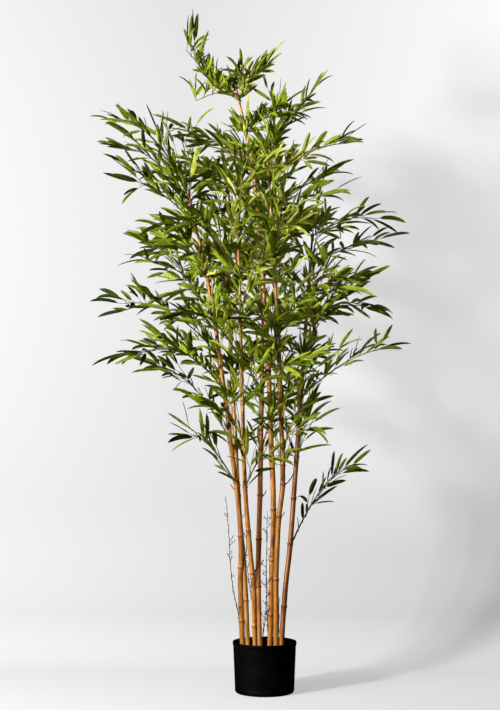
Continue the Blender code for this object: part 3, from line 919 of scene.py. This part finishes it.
def caneMaterial(name, light, middle, dark, roughness):
    look = caneLook
    material, tree, shader = newMaterial(f"cane_{name}", roughness, specular=look["shine"] / roughness)
    streaks = noiseNode(tree, 1.0, look["streaks"], detail=4, roughness=0.6)
    palest = tuple(min(1, c * 1.15) for c in light)
    body = rampNode(tree, streaks, [(0.28, middle), (0.50, light), (0.78, palest)])
    patches = noiseNode(tree, 1.0, look["patches"], detail=3)
    stained = mixNode(tree, rampNode(tree, patches, [(0.42, grey(0)), (0.60, grey(0.9))]), body, middle)
    scorch = noiseNode(tree, 1.0, look["scorch"], detail=4)
    stained = mixNode(tree, rampNode(tree, scorch, [(0.54, grey(0)), (0.68, grey(0.7))]), stained, dark)
    freckles = noiseNode(tree, look["freckles"], (1, 1, 0.5), detail=2)
    spots = rampNode(tree, freckles, [(0.64, grey(0)), (0.72, grey(0.8))])
    tree.links.new(mixNode(tree, spots, stained, dark), shader.inputs["Base Color"])
    bumpInto(tree, shader, noiseNode(tree, 1.0, look["fibres"], detail=3), 0.35, 0.0005)
    return material


def barkHeights(cane, knuckles):
    low, high = plan["fillTop"] - 0.010, caneTop(cane)
    heights = list(np.arange(low, high, caneLook["step"])) + knuckles
    for knuckle in knuckles:
        for off in caneLook["ringSteps"]:
            heights += [knuckle - off, knuckle + off]
    return sorted(h for h in heights if low <= h <= high) + [high]


def swelling(off):
    # a ring at the knuckle, a groove above it, a soft shoulder below it and a slimmer cane between
    loss, reach = caneLook["waist"]
    shape = 1
    for gain, place, half in (caneLook["ring"], caneLook["groove"], caneLook["shoulder"]):
        shape += gain * math.exp(-((off - place) / half) ** 2)
    return shape - loss * min(1.0, abs(off) / reach)


def barkRing(cane, height, off, phase):
    # one ring of points round a cane, so far above its nearest knuckle
    look = caneLook
    stray, often = look["wander"]
    depth, fineRound, fineAlong = look["grain"]
    thickness = caneRadius(cane, height) * swelling(off)
    middle = canePoint(cane, height)
    for axis in (0, 1):
        middle[axis] += stray * noise.noise(Vector((height * often, axis * 7, phase * 3)))
    points = []
    for n in range(look["sides"]):
        turn = math.tau * n / look["sides"]
        radius = thickness * (1 + look["oval"] * math.cos(2 * turn + phase))
        place = (math.cos(turn) * fineRound, math.sin(turn) * fineRound, height * fineAlong + phase)
        radius += depth * noise.noise(Vector(place))
        points.append(middle + outwards(turn) * radius)
    return points


def makeCane(name, cane):
    look = caneLook
    knuckles = knuckleHeights(cane)
    heights = barkHeights(cane, knuckles)
    phase = random.Random(name).uniform(0, math.tau)
    points, faces, slots = [], [], []
    for height in heights:
        nearest = min(knuckles, key=lambda k: abs(k - height))
        points += barkRing(cane, height, height - nearest, phase)
    sides = look["sides"]
    for k in range(len(heights) - 1):
        centre = (heights[k] + heights[k + 1]) / 2
        ringed = min(abs(centre - knuckle) for knuckle in knuckles) < look["ring"][2]
        for n in range(sides):
            a, b = k * sides + n, k * sides + (n + 1) % sides
            faces.append((a, b, b + sides, a + sides))
            slots.append(1 if ringed else 0)
    faces += [tuple(reversed(range(sides))), tuple(range(len(points) - sides, len(points)))]
    slots += [1, 1]
    light, middle, dark = look["colours"][name]
    barkRoughness, ringRoughness = look["roughness"]
    body = caneMaterial(name, light, middle, dark, barkRoughness)
    between = tuple((a + b) / 2 for a, b in zip(middle, dark))
    ring = caneMaterial(f"{name}_ring", middle, between, dark, ringRoughness)
    obj = addMesh(f"bark_{name}", points, faces, [body, ring], slots)
    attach(obj, "root")
    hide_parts(f"cane_{name}")


potLook = {
    "height": 0.134,
    "footRadius": 0.078,
    "rimRadius": 0.0835,
    "wall": 0.0025,
    "floor": 0.003,
    "footRound": 0.006,
    "roundSteps": 8,
    "ridge": 0.0095,  # height of a faint moulded line just above the foot
    "collar": 0.009,
    "proud": 0.0009,
    "hub": 0.004,
    "sides": 128,
    "crease": math.radians(40),
    "colour": (0.0016, 0.0016, 0.0014),
    "smudges": (0.6, 1.9),
    "dust": (0.030, 0.029, 0.027),
}


def lathe(profile, sides):
    points, faces = [], []
    for radius, height in profile:
        for k in range(sides):
            turn = math.tau * k / sides
            points.append((radius * math.cos(turn), radius * math.sin(turn), height))
    for r in range(len(profile) - 1):
        for k in range(sides):
            a, b = r * sides + k, r * sides + (k + 1) % sides
            faces.append((a, b, b + sides, a + sides))
    faces.append(tuple(reversed(range(sides))))
    faces.append(tuple(range((len(profile) - 1) * sides, len(profile) * sides)))
    return points, faces


def potProfile():
    # radius and height, from the middle of the foot up the outside, over the rim and down the inside
    look = potLook
    top = look["height"]
    rate = (look["rimRadius"] - look["footRadius"]) / top

    def outer(height):
        return look["footRadius"] + rate * height

    profile = [(look["hub"], 0.0)]
    for k in range(look["roundSteps"] + 1):
        turn = math.pi / 2 * k / look["roundSteps"]
        height = look["footRound"] * (1 - math.cos(turn))
        profile.append((outer(height) - look["footRound"] * (1 - math.sin(turn)), height))
    ridge = look["ridge"]
    for out, rise in ((0.0001, 0.0), (0.0004, 0.0006), (0.0001, 0.0013)):
        profile.append((outer(ridge) + out, ridge + rise))
    collarFoot = top - look["collar"]
    for k in range(1, 8):
        height = ridge + (collarFoot - ridge) * k / 8
        profile.append((outer(height), height))
    proud = look["rimRadius"] + look["proud"]
    inner = look["rimRadius"] - look["wall"]
    profile += [(outer(collarFoot), collarFoot - 0.0009), (proud - 0.0003, collarFoot - 0.0004)]
    profile += [(proud, collarFoot), (proud, top - 0.0012), (proud - 0.0003, top - 0.0003)]
    profile += [(proud - 0.0010, top), (inner + 0.0003, top), (inner, top - 0.0003), (inner, top - 0.0012)]
    profile += [(inner + rate * (height - top), height) for height in (0.12, 0.10, 0.05)]
    profile += [(outer(look["floor"]) - look["wall"], look["floor"]), (look["hub"], look["floor"])]
    return profile


def potMaterial():
    look = potLook
    material, tree, shader = newMaterial("potPlastic", 0.5, specular=0.05)
    smudge = noiseNode(tree, 22, detail=4)
    darker, lighter = (tuple(c * share for c in look["colour"]) for share in look["smudges"])
    tone = rampNode(tree, smudge, [(0.35, darker), (0.7, lighter)])
    dust = rampNode(tree, noiseNode(tree, 330, detail=1), [(0.74, grey(0)), (0.80, grey(0.55))])
    tree.links.new(mixNode(tree, dust, tone, look["dust"]), shader.inputs["Base Color"])
    rough = rampNode(tree, noiseNode(tree, 60, detail=4), [(0.3, grey(0.42)), (0.7, grey(0.62))])
    tree.links.new(rough, shader.inputs["Roughness"])
    bumpInto(tree, shader, noiseNode(tree, 1400, detail=3), 0.3, 0.0003)
    return material


def makePot():
    points, faces = lathe(potProfile(), potLook["sides"])
    pot = addMesh("potShell", points, faces, [potMaterial()])
    pot.data.set_sharp_from_angle(angle=potLook["crease"])
    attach(pot, "root")
    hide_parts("pot")


fillLook = {
    "rings": 46,
    "sides": 110,
    "lumps": (0.0018, 90),  # height, how many to a metre
    "crumbs": (0.0011, 420),
    "dome": 0.004,
    "sunk": 0.0015,
    "gap": 0.0012,  # between the fill and the pot's wall
    "lift": 0.0006,  # and over the pot's floor
    "tones": ((0.3, (0.006, 0.005, 0.004)), (0.6, (0.022, 0.016, 0.012)), (0.8, (0.06, 0.04, 0.026))),
}


def fillHeight(x, y, share):
    # a low dome of lumps and crumbs, share of the way out from its middle
    look = fillLook
    (lumpHeight, lumpScale), (crumbHeight, crumbScale) = look["lumps"], look["crumbs"]
    rough = lumpHeight * noise.noise(Vector((x * lumpScale, y * lumpScale, 3)))
    rough += crumbHeight * noise.noise(Vector((x * crumbScale, y * crumbScale, 9)))
    return plan["fillTop"] - look["sunk"] - look["dome"] * share ** 3 + rough


def makeFill():
    look = fillLook
    edge = potLook["rimRadius"] - potLook["wall"] - look["gap"]
    foot = potLook["footRadius"] - potLook["wall"] - look["gap"]
    floor = potLook["floor"] + look["lift"]
    sides = look["sides"]
    points, faces = [], []
    for ring in range(look["rings"]):
        radius = edge * (ring + 1) / look["rings"]
        for k in range(sides):
            turn = math.tau * k / sides
            x, y = radius * math.cos(turn), radius * math.sin(turn)
            points.append((x, y, fillHeight(x, y, radius / edge)))
    points.append((0, 0, plan["fillTop"] - look["sunk"]))
    middle = len(points) - 1
    for k in range(sides):
        faces.append((middle, k, (k + 1) % sides))
    for ring in range(look["rings"] - 1):
        for k in range(sides):
            a, b = ring * sides + k, ring * sides + (k + 1) % sides
            faces.append((a, a + sides, b + sides, b))
    skirt = (look["rings"] - 1) * sides
    low = len(points)
    for k in range(sides):
        turn = math.tau * k / sides
        points.append((foot * math.cos(turn), foot * math.sin(turn), floor))
    for k in range(sides):
        a, b = k, (k + 1) % sides
        faces.append((skirt + a, low + a, low + b, skirt + b))
    faces.append(tuple(low + sides - 1 - k for k in range(sides)))
    material, tree, shader = newMaterial("fillCement", 0.95, specular=0.2)
    tone = rampNode(tree, noiseNode(tree, 260, detail=5), look["tones"])
    tree.links.new(tone, shader.inputs["Base Color"])
    bumpInto(tree, shader, noiseNode(tree, 900, detail=4), 0.8, 0.001)
    fill = addMesh("fillTop", points, faces, [material])
    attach(fill, "root")
    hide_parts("fill")


dryLook = {
    "stubs": (  # cane, height, heading, length, radius
        ("middle_back", 0.512, 20, 0.014, 0.0015),
        ("middle_front", 0.548, 350, 0.026, 0.0016),
        ("middle_front", 0.464, 340, 0.011, 0.0014),
        ("left", 0.535, 190, 0.012, 0.0013),
        ("left_front", 0.322, 12, 0.026, 0.0019),
        ("left_front", 0.323, 28, 0.017, 0.0016),
        ("left", 0.334, 10, 0.012, 0.0013),
        ("left", 0.415, 350, 0.006, 0.0017),
        ("right", 0.397, 20, 0.010, 0.0015),
        ("left", 0.190, 200, 0.007, 0.0012),
    ),
    "stubRise": (0.3, 0.9),  # how a stub climbs at its foot, and how much more towards its end
    "stubSteps": ((0, 1.25), (0.25, 1), (0.5, 0.92), (0.75, 0.9), (1, 0.82)),  # place, share of the radius
    "stubSides": 8,
    "twigs": (  # cane, height, heading, how far it leans out, length, how bushy
        ("left", 0.188, 205, 0.030, 0.330, 1.0),
        ("left_front", 0.228, 170, 0.012, 0.270, 1.0),
        ("tall", 0.128, 186, 0.012, 0.350, 2.0),
        ("middle_back", 0.128, 352, 0.017, 0.190, 1.6),
        ("middle_front", 0.125, 352, 0.004, 0.130, 0.8),
        ("left", 0.330, 5, 0.010, 0.090, 1.0),
    ),
    "root": 0.6,  # where stubs and twigs start inside a cane, as a share of its radius
    "joint": 0.008,
    "wobble": 0.0010,
    "twigRadius": (0.0012, 0.0006),  # at the foot, and what it loses by the end
    "jointed": (5, 1.6),  # every fifth joint is this much thicker
    "twigSides": 6,
    "sideChance": 0.22,
    "sideReach": (0.008, 0.022),
    "sideRadii": (0.0007, 0.0006, 0.0004),
    "sideBend": 0.003,
    "budLength": (0.004, 0.008),
    "budRadius": (0.0009, 0.0013),  # where a bud is fattest
    "budMiddle": 0.45,  # how far along it that is
    "budEnds": (0.0005, 0.0002),
    "fineSides": 5,
    "finishes": {  # darkest and palest
        "deadTwig": ((0.014, 0.009, 0.007), (0.070, 0.040, 0.026)),
        "stubWood": ((0.060, 0.022, 0.010), (0.300, 0.130, 0.055)),
    },
}


def addStub(dead, caneName, height, heading, length, radius):
    cane = canes[caneName]
    out = outwards(math.radians(heading))
    root = canePoint(cane, height) + out * caneRadius(cane, height) * dryLook["root"]
    low, high = dryLook["stubRise"]
    path, radii = [], []
    for t, share in dryLook["stubSteps"]:
        path.append(root + out * length * t + up * length * (low * t + high * t * t))
        radii.append(radius * share)
    dead.tube(path, radii, dryLook["stubSides"], 1)


def addBud(dead, root, draw):
    lean = Vector((draw.uniform(-0.7, 0.7), draw.uniform(-0.7, 0.7), 1)).normalized()
    lean = lean * draw.uniform(*dryLook["budLength"])
    fattest = draw.uniform(*dryLook["budRadius"])
    foot, point = dryLook["budEnds"]
    path = [root, root + lean * dryLook["budMiddle"], root + lean]
    dead.tube(path, [foot, fattest, point], dryLook["fineSides"])


def addSideTwig(dead, root, bushy, draw):
    side = Vector((draw.uniform(-1, 1), draw.uniform(-1, 1), draw.uniform(0.3, 1.2))).normalized()
    reach = draw.uniform(*dryLook["sideReach"]) * (0.6 + 0.4 * bushy)
    bend = Vector((draw.uniform(-1, 1), draw.uniform(-1, 1), 0.5)) * dryLook["sideBend"]
    middle = root + side * reach * 0.5 + bend
    dead.tube([root, middle, root + side * reach], dryLook["sideRadii"], dryLook["fineSides"])
    addBud(dead, middle, draw)
    addBud(dead, root + side * reach * 0.9, draw)


def addDryTwig(dead, number, caneName, height, heading, lean, length, bushy):
    look = dryLook
    draw = random.Random(f"bare {number}")
    cane = canes[caneName]
    out = outwards(math.radians(heading))
    steps = round(length / look["joint"])
    fat, loss = look["twigRadius"]
    every, thicker = look["jointed"]
    path, radii = [], []
    for k in range(steps + 1):
        share = k / steps
        base = canePoint(cane, height + length * share)
        offset = caneRadius(cane, height) * look["root"] + lean * math.sin(min(1, share * 1.5) * math.pi / 2)
        wobble = Vector((draw.uniform(-1, 1), draw.uniform(-1, 1), 0)) * look["wobble"]
        path.append(base + out * offset + wobble)
        radii.append((fat - loss * share) * (thicker if k % every == 0 else 1.0))
    dead.tube(path, radii, look["twigSides"])
    for k in range(2, steps - 1):
        # every second joint bears a dry bud pressed to the twig, and some a side twig with buds of its own
        if k % 2:
            addBud(dead, path[k], draw)
        if draw.random() < look["sideChance"] * bushy:
            addSideTwig(dead, path[k], bushy, draw)


def makeBareTwigs():
    dead = Builder()
    for row in dryLook["stubs"]:
        addStub(dead, *row)
    for number, row in enumerate(dryLook["twigs"]):
        addDryTwig(dead, number, *row)
    finishes = []
    for name, (darkest, palest) in dryLook["finishes"].items():
        material, tree, shader = newMaterial(name, 0.75)
        tone = rampNode(tree, noiseNode(tree, 160), [(0.35, darkest), (0.7, palest)])
        tree.links.new(tone, shader.inputs["Base Color"])
        bumpInto(tree, shader, noiseNode(tree, 700), 0.5, 0.0005)
        finishes.append(material)
    piece = dead.finish("bareTwigs", finishes)
    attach(piece, "root")


studio = {
    "wallColour": grey(0.565),
    "wallBehind": 0.78,
    "sweep": 0.45,
    "sweepSteps": 12,
    "halfWidth": 6.0,
    "front": -5.5,
    "top": 5.0,
    "ambient": 0.12,
    "glow": 0.265,  # the paper glows by itself: painted light over all of it
    "sideGlow": (-0.25, 0.90, 0.0, 0.40),  # painted light, more towards the right where the plant's shadow falls: from x, to x, from glow, to glow
    "sideGlowRise": (0.30, 0.75, 0.0, 1.0),  # and only from this height up
    "floorGlow": (0.0, 0.12, 0.19, 0.0),  # painted light on the floor and the foot of the sweep: from z, to z, from glow, to glow
    "lamps": (  # name, place, target, size, watts
        ("key", (-2.40, -2.25, 1.35), (0.0, 0.0, 0.90), 0.45, 122),
        ("softbox", (-3.0, -1.8, 1.9), (0.0, 0.0, 0.9), 1.2, 36),
    ),
    "viewDistance": 4.0,
    "viewHeight": 0.74,
    "metresAcross": 1.3325,  # how much the camera sees where the plant stands
    "tallness": 710 / 500,  # height of the view over its width
    "aim": (-0.0386, 0.0, 0.8914),
}


def spreadNode(tree, value, limits):
    node = tree.nodes.new("ShaderNodeMapRange")
    tree.links.new(value, node.inputs["Value"])
    for socket, limit in zip(("From Min", "From Max", "To Min", "To Max"), limits):
        node.inputs[socket].default_value = limit
    return node.outputs["Result"]


def mathNode(tree, operation, first, second):
    node = tree.nodes.new("ShaderNodeMath")
    node.operation = operation
    tree.links.new(first, node.inputs[0])
    if isinstance(second, float):
        node.inputs[1].default_value = second
    else:
        tree.links.new(second, node.inputs[1])
    return node.outputs["Value"]


def paperMaterial():
    paper, tree, shader = newMaterial("paleBackdrop", 0.9, studio["wallColour"], 0.1)
    coords = tree.nodes.new("ShaderNodeTexCoord")
    split = tree.nodes.new("ShaderNodeSeparateXYZ")
    tree.links.new(coords.outputs["Object"], split.inputs["Vector"])
    # the emission is painted light: a glow over the whole paper, more on the right above the floor, and more
    # low down on the floor
    aside = mathNode(tree, "MULTIPLY", spreadNode(tree, split.outputs["X"], studio["sideGlow"]),
                    spreadNode(tree, split.outputs["Z"], studio["sideGlowRise"]))
    low = mathNode(tree, "ADD", spreadNode(tree, split.outputs["Z"], studio["floorGlow"]), studio["glow"])
    tree.links.new(mathNode(tree, "ADD", low, aside), shader.inputs["Emission Strength"])
    shader.inputs["Emission Color"].default_value = (*grey(1), 1)
    # seen from behind the paper is clear, so that the plant shows from there too
    output = next(node for node in tree.nodes if node.type == "OUTPUT_MATERIAL")
    clear = tree.nodes.new("ShaderNodeMixShader")
    tree.links.new(tree.nodes.new("ShaderNodeNewGeometry").outputs["Backfacing"], clear.inputs["Fac"])
    tree.links.new(shader.outputs["BSDF"], clear.inputs[1])
    tree.links.new(tree.nodes.new("ShaderNodeBsdfTransparent").outputs["BSDF"], clear.inputs[2])
    tree.links.new(clear.outputs["Shader"], output.inputs["Surface"])
    return paper


def makeBackdrop():
    # floor and wall in one sheet with a swept corner, and more floor behind it
    look = studio
    edge, front, wall, sweep = look["halfWidth"], look["front"], look["wallBehind"], look["sweep"]
    path = [(front, 0.0), (wall - sweep, 0.0)]
    for k in range(1, look["sweepSteps"] + 1):
        turn = math.pi / 2 * k / look["sweepSteps"]
        path.append((wall - sweep * (1 - math.sin(turn)), sweep * (1 - math.cos(turn))))
    path.append((wall, look["top"]))
    points = [(x, y, z) for y, z in path for x in (-edge, edge)]
    faces = [(2 * k, 2 * k + 1, 2 * k + 3, 2 * k + 2) for k in range(len(path) - 1)]
    paper = paperMaterial()
    backdrop = addMesh("backdrop", points, faces, [paper])
    points = [(-edge, wall - sweep, 0), (edge, wall - sweep, 0), (edge, -front, 0), (-edge, -front, 0)]
    floor = addMesh("floorBehind", points, [(0, 1, 2, 3)], [paper])
    for sheet in (backdrop, floor):
        sheet.visible_diffuse = False  # the paper must not flatten the plant with bounced light
        sheet.visible_glossy = False


def makeLight():
    world = bpy.data.worlds.new("studio")
    world.use_nodes = True
    background = world.node_tree.nodes["Background"]
    background.inputs["Color"].default_value = (*grey(1), 1)
    background.inputs["Strength"].default_value = studio["ambient"]
    world.cycles_visibility.glossy = False  # a white room would veil the darker sides of canes and leaves
    bpy.context.scene.world = world
    for name, place, target, size, power in studio["lamps"]:
        lamp = bpy.data.lights.new(name, "AREA")
        lamp.shape = "DISK"
        lamp.size = size
        lamp.energy = power
        obj = bpy.data.objects.new(name, lamp)
        obj.location = place
        obj.rotation_euler = (Vector(target) - Vector(place)).to_track_quat("-Z", "Y").to_euler()
        bpy.context.scene.collection.objects.link(obj)


def makeCamera():
    camera = bpy.data.cameras.new("camera")
    obj = bpy.data.objects.new("camera", camera)
    obj.location = (studio["aim"][0], -studio["viewDistance"], studio["viewHeight"])
    aim = Vector(studio["aim"]) - obj.location
    obj.rotation_euler = aim.to_track_quat("-Z", "Y").to_euler()
    metresTall = studio["metresAcross"] * studio["tallness"]
    camera.lens = camera.sensor_width * aim.length / metresTall
    bpy.context.scene.collection.objects.link(obj)
    bpy.context.scene.camera = obj
    bpy.context.scene.view_settings.view_transform = "Standard"


makePot()
makeFill()
print("pot and fill done")
for caneName, cane in canes.items():
    makeCane(caneName, cane)
print("canes done")
makeBareTwigs()
print("dry twigs done")
makeFoliage()
makeBackdrop()
makeLight()
makeCamera()
print("studio done")
